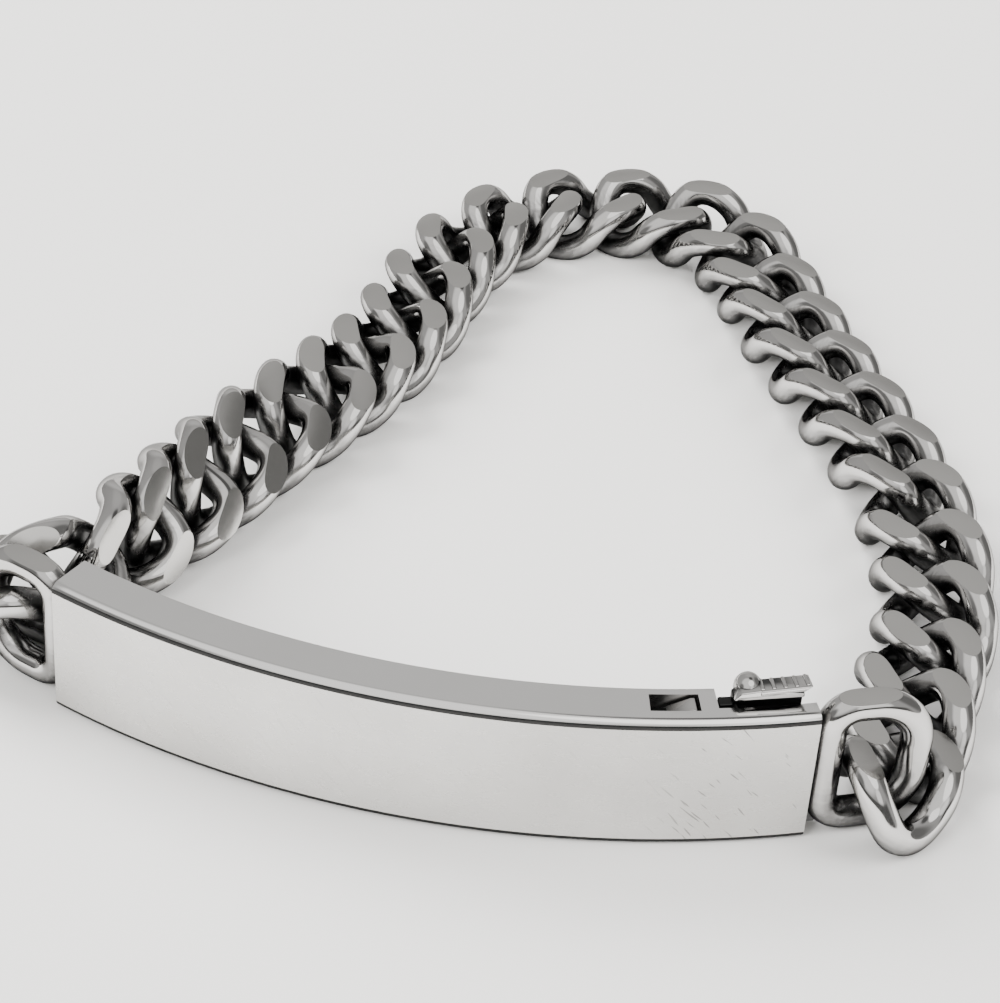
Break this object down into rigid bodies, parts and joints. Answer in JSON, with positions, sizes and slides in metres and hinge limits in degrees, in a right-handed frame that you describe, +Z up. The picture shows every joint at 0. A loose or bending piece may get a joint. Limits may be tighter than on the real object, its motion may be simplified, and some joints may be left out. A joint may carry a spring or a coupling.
{
  "type": "chain bracelet with a curved plate",
  "caption": "Heavy curb chain bracelet with a curved hollow plate and a push-in tongue clasp worked by a sprung thumb lever.",
  "frame": {"origin": "centre of the whole loop's footprint, on the surface that it lies on", "axes": "+Z up from the surface, -Y towards the plate's outer face, +X towards the clasp end of the plate"},
  "size_m": [0.0686, 0.0752, 0.0115],
  "materials": {
    "plate_metal": "satin",
    "clasp_metal": "polished",
    "link_metal": "polished, with satin filed faces"
  },
  "bodies": {
    "bracelet": {"plate": "plate_metal", "tongue": "clasp_metal", "lever_pin": "clasp_metal", "link_01": "link_metal", "link_02": "link_metal", "link_03": "link_metal", "link_04": "link_metal", "link_05": "link_metal", "link_06": "link_metal", "link_07": "link_metal", "link_08": "link_metal", "link_09": "link_metal", "link_10": "link_metal", "link_11": "link_metal", "link_12": "link_metal", "link_13": "link_metal", "link_14": "link_metal", "link_15": "link_metal", "link_16": "link_metal", "link_17": "link_metal", "link_18": "link_metal", "link_19": "link_metal", "link_20": "link_metal", "link_21": "link_metal", "link_22": "link_metal", "link_23": "link_metal", "link_24": "link_metal", "link_25": "link_metal", "link_26": "link_metal", "link_27": "link_metal", "link_28": "link_metal"},
    "lever": {"spring_lever": "clasp_metal"}
  },
  "joints": [
    {"name": "lever_press", "type": "hinge", "parent": "bracelet", "child": "lever", "pos_m": [0.00844, -0.03576, 0.0081], "axis": [0.0481, -0.9988, 0], "range_deg": [-8, 0], "stiffness_Nm_per_rad": 0.1}
  ]
}
